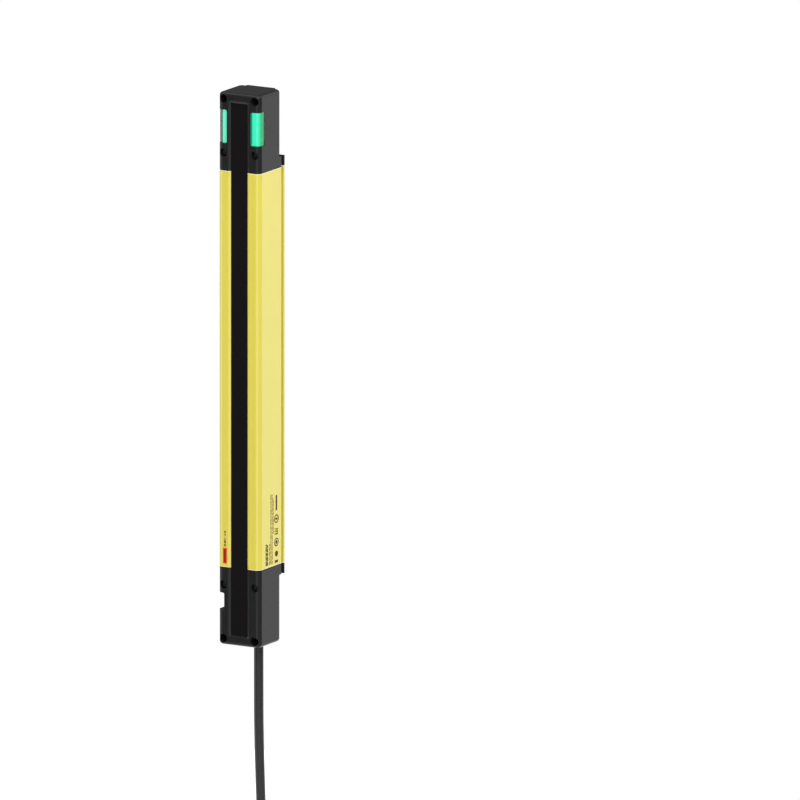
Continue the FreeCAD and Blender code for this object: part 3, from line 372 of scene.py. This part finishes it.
looks = {
    "profile_paint": powder_coat(),
    "window": glossy("window_dark", srgb(15, 12, 13)),
    "seal": rubber("seal_rubber", srgb(28, 28, 28)),
    "cap": moulded("cap_black", srgb(32, 32, 33)),
    "status_lens": status_lens(),
    "frame_metal": metal("cast_aluminium", srgb(190, 191, 193), 0.4, 0.55),
    "bright_screw": metal("zinc_steel", srgb(196, 196, 192)),
    "black_screw": cap_screw(),
    "rail": moulded("rail_black", srgb(24, 24, 26), 0.6, 0.7),
    "optics": clear_optic(),
    "circuit_board": board(),
    "diode": glossy("diode_epoxy", srgb(150, 150, 175)),
    "led": glossy("led_package", srgb(235, 232, 215), 0.2, 0.3),
    "chip": moulded("chip_epoxy", srgb(26, 26, 27), 0.5, 0.6),
    "can": metal("can_aluminium", srgb(205, 205, 208), 0.25, 0.35),
    "socket": moulded("socket_nylon", srgb(226, 220, 200), 0.45, 0.55),
    "ribbon": glossy("ribbon_film", srgb(200, 202, 210), 0.25, 0.35),
    "clamp": moulded("clamp_nylon", srgb(30, 30, 31), 0.5, 0.6),
    "wire": rubber("wire_cores", srgb(120, 78, 48), 0.35, 0.45),
    "bushing": rubber("bushing_rubber", srgb(24, 24, 25)),
    "cable_jacket": jacket(),
    "plug_grip": moulded("plug_grip_black", srgb(30, 30, 31), 0.42, 0.5, relief=0.25),
    "plug_metal": metal("nickel_plate", srgb(214, 212, 206), 0.16, 0.24),
    "seal_green": rubber("ring_green", srgb(24, 78, 46)),
    "insert": moulded("insert_black", srgb(26, 26, 27), 0.45, 0.55),
    "pin_gold": metal("pin_gold", srgb(236, 202, 110), 0.12, 0.2),
}
for entry in frame["record"]["subparts"]:
    mesh = nodes[entry["node"]]
    mesh.data.materials.clear()
    mesh.data.materials.append(looks[entry["material_slot"]])
cable_curve.materials.append(looks["cable_jacket"])


def add_mesh(name, verts, faces, material):
    """A new object in the scene, with one material."""
    mesh = bpy.data.meshes.new(name)
    mesh.from_pydata(verts, [], faces)
    mesh.update()
    mesh.materials.append(material)
    obj = bpy.data.objects.new(name, mesh)
    scene.collection.objects.link(obj)
    return obj


# The plug's sleeve, with the thread that the CAD leaves as a plain cylinder.
# Heights are along the plug, from the cable's end.
SLEEVE_START = 31.0
COLLAR_END = 34.0
NECK_END = 35.6
SLEEVE_END = 44.0
LEAD_IN = 0.6
COLLAR_RADIUS = 6.8
COLLAR_EDGE = 0.3
NECK_RADIUS = 5.1
CREST = 6.0
ROOT = 5.4
BORE = 4.9
PITCH = 1.0
SEGMENTS = 64
ROWS_PER_TURN = 10


def clamp(value):
    return min(1.0, max(0.0, value))


def thread_radius(height, angle):
    """The thread's radius at one height and angle, run out at both ends."""
    phase = (height / PITCH - angle / (2 * math.pi)) % 1.0
    # A flat crest and a flat root, with sloping flanks between them
    ridge = clamp(1.6 * abs(2 * phase - 1) - 0.3)
    radius = ROOT + (CREST - ROOT) * ridge
    run_in = NECK_RADIUS + (CREST - NECK_RADIUS) * clamp((height - NECK_END) / LEAD_IN)
    run_out = CREST - max(0.0, height - SLEEVE_END + LEAD_IN)
    return min(radius, run_in, run_out)


def threaded_sleeve():
    """A closed mesh of rings: collar, neck, thread, end face and bore."""
    plain = [
        (BORE, SLEEVE_START),
        (COLLAR_RADIUS - COLLAR_EDGE, SLEEVE_START),
        (COLLAR_RADIUS, SLEEVE_START + COLLAR_EDGE),
        (COLLAR_RADIUS, COLLAR_END - COLLAR_EDGE),
        (COLLAR_RADIUS - COLLAR_EDGE, COLLAR_END),
        (NECK_RADIUS, COLLAR_END),
        (NECK_RADIUS, NECK_END),
    ]
    angles = [2 * math.pi * i / SEGMENTS for i in range(SEGMENTS)]
    rows = [[(radius, height) for _ in angles] for radius, height in plain]
    steps = round((SLEEVE_END - NECK_END) / PITCH * ROWS_PER_TURN)
    for k in range(1, steps + 1):
        height = NECK_END + (SLEEVE_END - NECK_END) * k / steps
        rows.append([(thread_radius(height, angle), height) for angle in angles])
    rows.append([(BORE, SLEEVE_END) for _ in angles])
    tail = Vector(cable_points[-1])
    along = tail - Vector(cable_points[-2])
    turn = Vector((0.0, 0.0, 1.0)).rotation_difference(along)
    verts = []
    for row in rows:
        for (radius, height), angle in zip(row, angles):
            point = Vector((radius * math.cos(angle), radius * math.sin(angle), height)) * MM
            verts.append(tail + turn @ point)
    faces = []
    for r in range(len(rows)):
        below = r * SEGMENTS
        above = (r + 1) % len(rows) * SEGMENTS
        for i in range(SEGMENTS):
            j = (i + 1) % SEGMENTS
            faces.append((below + i, below + j, above + j, above + i))
    obj = add_mesh("plug_thread", verts, faces, looks["plug_metal"])
    obj.data.shade_smooth()
    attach(obj, "root")
    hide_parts("plug_sleeve")
    return obj


plug_thread = threaded_sleeve()


def slabs(name, outlines, place, low, high, material):
    """One mesh of flat shapes, as thick as from low to high. place turns (u, v, level) into a point."""
    verts = []
    faces = []
    for outline in outlines:
        start = len(verts)
        count = len(outline)
        for level in (low, high):
            verts.extend([place(u, v, level) for u, v in outline])
        faces.append(tuple(range(start + count - 1, start - 1, -1)))
        faces.append(tuple(range(start + count, start + 2 * count)))
        for i in range(count):
            j = (i + 1) % count
            faces.append((start + i, start + j, start + count + j, start + count + i))
    obj = add_mesh(name, verts, faces, material)
    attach(obj, "root")


# Printed shapes, as thin plates on the paint. Their outlines are in millimetres, along a face and up it
PRINT = 0.03


def ink(name, base):
    """Dull printing ink."""
    b = Build(name)
    b.colour(b.vary(base, 0.05, 400.0))
    b.rough(0.35, 0.45, 600.0)
    b.fix(Specular_IOR_Level=0.15)
    b.bump(b.noise(1500.0, detail=2.0), 0.1, 0.03)
    return b.material


def block(u0, u1, v0, v1):
    """A rectangle's outline."""
    return [(u0, v0), (u1, v0), (u1, v1), (u0, v1)]


def strokes(u0, u1, v0, v1, lengths, gap):
    """A row of solid strokes of the given lengths, one after another, from v0 until v1 is reached."""
    shapes = []
    at = v0
    for length in itertools.cycle(lengths):
        if at >= v1 - gap:
            return shapes
        end = min(at + length, v1)
        shapes.append(block(u0, u1, at, end))
        at = end + gap


def disc(u, v, radius, steps=24):
    """A circle's outline."""
    angles = [2 * math.pi * i / steps for i in range(steps)]
    return [(u + radius * math.cos(a), v + radius * math.sin(a)) for a in angles]


def ring(u, v, radius, width):
    """A ring, as a row of short blocks between two circles."""
    outer = disc(u, v, radius)
    inner = disc(u, v, radius - width)
    return [[inner[i - 1], outer[i - 1], outer[i], inner[i]] for i in range(len(outer))]


def on_side(depth, z, lift):
    """A point on the right side face, from its depth behind the front plane."""
    return (side_x + lift * MM, front_y + depth * MM, z * MM)


def on_front(x, z, lift):
    """A point on the front face."""
    return (x * MM, front_y - lift * MM, z * MM)


dark_ink = ink("print_dark", srgb(62, 50, 14))
pale_ink = ink("print_pale", srgb(116, 98, 34))
bold_rows = strokes(7.9, 9.3, -126.4, -112.4, (3.2, 2.2, 2.6), 0.4)
bold_rows += strokes(9.7, 11.0, -126.4, -113.0, (2.4, 3.0, 2.0), 0.4)
fine_rows = strokes(12.4, 13.3, -126.3, -112.6, (2.6, 1.6, 3.1), 0.5)
fine_rows += strokes(14.0, 14.9, -126.3, -81.3, (3.4, 1.8, 2.7, 4.2, 1.5), 0.5)
fine_rows += strokes(15.6, 16.5, -126.3, -81.3, (2.1, 3.6, 1.7, 2.9), 0.5)
fine_rows += strokes(17.2, 17.9, -107.0, -84.0, (1.9, 2.8, 3.9, 1.6), 0.5)
symbols = [block(19.4, 23.4, -126.4, -124.7), disc(21.5, -120.6, 1.9), block(20.4, 22.3, -92.6, -82.7)]
symbols += ring(21.4, -113.1, 2.8, 0.8)
symbols.append(disc(21.4, -113.1, 1.3))
symbols += strokes(19.3, 20.3, -108.3, -103.9, (1.3,), 0.5)
symbols += strokes(21.0, 23.3, -108.3, -103.9, (1.0,), 0.5)
symbols += ring(21.4, -98.0, 2.8, 0.8)
symbols.append(block(20.0, 22.8, -98.7, -97.3))
slabs("side_rows", bold_rows + symbols, on_side, 0.0, PRINT, dark_ink)
slabs("side_fine_rows", fine_rows, on_side, 0.0, PRINT, pale_ink)
front_marks = strokes(-10.6, -9.2, -114.6, -109.5, (1.4, 2.0), 0.5)
front_marks += strokes(-10.4, -9.3, -107.7, -103.8, (1.0, 1.5), 0.6)
slabs("front_marks", front_marks, on_front, 0.0, PRINT, pale_ink)
orange_ink = ink("print_orange", srgb(214, 92, 38))
red_ink = ink("print_red", srgb(146, 30, 12))
outer_block = [block(-11.5, -8.4, -125.8, -115.6)]
inner_block = [block(-10.8, -9.2, -125.2, -116.4)]
slabs("front_block", outer_block, on_front, 0.0, PRINT, orange_ink)
slabs("front_stripe", inner_block, on_front, PRINT, 2 * PRINT, red_ink)


# Light cores, behind each lens's skin round the cap's front corner
CORNER = 3.6
SKIN = 1.9
CORE_WALL = 0.7
CORE_REAR = 7.2
END_GAP = 0.15
CORNER_STEPS = 8


def core_outline(bite):
    """The core's section in (x, depth), which bites into the skin by a hair, or stands clear of it."""
    outer_x = side_x / MM - SKIN + bite
    outer_depth = SKIN - bite
    corner = CORNER - SKIN + bite
    start = lens_inner / MM + END_GAP
    outer = [(start, outer_depth)]
    inner = [(start, outer_depth + CORE_WALL)]
    for i in range(CORNER_STEPS + 1):
        angle = math.radians(90 - 90 * i / CORNER_STEPS)
        for line, radius in ((outer, corner), (inner, corner - CORE_WALL)):
            x = outer_x - corner + radius * math.cos(angle)
            line.append((x, outer_depth + corner - radius * math.sin(angle)))
    outer.append((outer_x, CORE_REAR))
    inner.append((outer_x - CORE_WALL, CORE_REAR))
    return inner[::-1] + outer


def light_core():
    """The glow behind a status lens: full at the front, paler to the left as a painted highlight, and it
    fades along the side.
    """
    b = Build("light_core_green")
    depth = b.math("SUBTRACT", b.part("Y"), front_y)
    fade = b.math("POWER", b.spread(depth, 2.8 * MM, CORE_REAR * MM, 0.0, 1.0), 0.75)
    leafy = b.spread(depth, 2.4 * MM, 5.0 * MM, 0.0, 1.0)
    # Painted highlight: the left core turns paler towards its outer corner
    painted_left_highlight = b.spread(b.part("X"), -13.5 * MM, -lens_inner, 1.0, 0.0)
    across = b.math("ABSOLUTE", b.part("X"))
    inner = b.spread(across, lens_inner, lens_inner + 1.2 * MM, 0.3, 1.0, smooth=True)
    glow = b.mix(leafy, srgb(62, 252, 200), srgb(30, 236, 130))
    glow = b.mix(painted_left_highlight, glow, srgb(165, 238, 220))
    b.join(b.mix(fade, glow, srgb(20, 70, 40)), b.shader.inputs["Emission Color"])
    b.join(inner, b.shader.inputs["Emission Strength"])
    b.colour(b.vary(srgb(12, 40, 30), 0.1, 200.0))
    b.rough(0.5, 0.6, 300.0)
    return b.material


def upright_on(side):
    """Stands an outline in (x, depth) up along Z, on the right side (1) or mirrored on the left (-1)."""
    return lambda x, depth, z: (side * x * MM, front_y + depth * MM, z * MM)


core_look = light_core()
core_low = lens_low / MM + END_GAP
core_high = lens_high / MM - END_GAP
for name, side, bite in (("light_core_right", 1, 0.1), ("light_core_left", -1, -0.05)):
    outline = core_outline(bite)[::side]
    slabs(name, [outline], upright_on(side), core_low, core_high, core_look)


# Stage and light
def studio_world():
    """White for the camera, and straight behind the bar for gloss and glass. Elsewhere a dim, soft room."""
    world = bpy.data.worlds.new("studio")
    scene.world = world
    world.use_nodes = True
    world.node_tree.nodes.clear()
    n = Nodes(world.node_tree)
    towards = n.add("ShaderNodeTexCoord").outputs["Generated"]
    split = n.add("ShaderNodeSeparateXYZ")
    n.join(towards, split.inputs["Vector"])
    room = n.spread(split.outputs["X"], 0.2, 0.9, 0.12, 0.3, smooth=True)
    ahead = n.add("ShaderNodeVectorMath", operation="DOT_PRODUCT")
    n.join(towards, ahead.inputs[0])
    ahead.inputs[1].default_value = -back
    background = n.spread(ahead.outputs["Value"], 0.97, 0.995, 0.0, 1.0, smooth=True)
    ray = n.rays()
    seen = n.math("MAXIMUM", ray["Is Glossy Ray"], ray["Is Transmission Ray"])
    outside_glass = n.math("SUBTRACT", 1.0, ray["Is Transmission Ray"])
    strength = n.math("MULTIPLY", room, outside_glass)
    strength = n.math("MAXIMUM", strength, n.math("MULTIPLY", ray["Is Diffuse Ray"], 0.5))
    strength = n.math("MAXIMUM", strength, n.math("MULTIPLY", seen, background))
    strength = n.math("MAXIMUM", strength, ray["Is Camera Ray"])
    light = n.add("ShaderNodeBackground")
    light.inputs["Color"].default_value = (1.0, 1.0, 1.0, 1.0)
    n.join(strength, light.inputs["Strength"])
    out = n.add("ShaderNodeOutputWorld")
    n.join(light.outputs["Background"], out.inputs["Surface"])


def softbox(name, turn, rise, away, width, height, glow):
    """A soft lamp aimed at the bar from an azimuth and an elevation. glow is its surface's brightness."""
    towards = direction(turn, rise)
    data = bpy.data.lights.new(name, "AREA")
    data.shape = "RECTANGLE"
    data.size = width
    data.size_y = height
    data.energy = glow * math.pi * width * height
    lamp = bpy.data.objects.new(name, data)
    scene.collection.objects.link(lamp)
    lamp.location = towards * away
    lamp.rotation_mode = "QUATERNION"
    lamp.rotation_quaternion = towards.to_track_quat("Z", "Y")
    lamp.visible_camera = False
    lamp.visible_transmission = False


def floor():
    """A pale round floor under the plug. It shows white, apart from the bar's soft shadow."""
    radius = 0.42
    height = -0.345
    rim = [(u, v, height) for u, v in disc(0.0, 0.0, radius, 72)]
    b = Build("floor_white")
    b.fix(Base_Color=(0.6, 0.6, 0.6, 1.0), Roughness=0.9, Specular_IOR_Level=0.0)
    b.fix(Emission_Color=(1.0, 1.0, 1.0, 1.0))
    ray = b.rays()
    seen = b.math("MAXIMUM", ray["Is Glossy Ray"], ray["Is Transmission Ray"])
    seen = b.math("MAXIMUM", seen, ray["Is Camera Ray"])
    b.join(b.math("MULTIPLY", seen, 0.55), b.shader.inputs["Emission Strength"])
    add_mesh("floor", rim, [tuple(range(len(rim)))], b.material)


studio_world()
floor()
softbox("key_light", 64.0, 50.0, away=2.0, width=2.2, height=1.6, glow=3.4)
softbox("front_right_light", 22.0, -5.0, away=2.0, width=1.4, height=3.0, glow=1.15)
softbox("rear_right_light", 151.0, 8.0, away=2.0, width=1.3, height=3.4, glow=1.13)
softbox("left_light", -68.0, -5.0, away=2.0, width=1.9, height=3.0, glow=1.1)
softbox("overhead_light", -80.0, 72.0, away=1.8, width=1.6, height=1.6, glow=1.5)
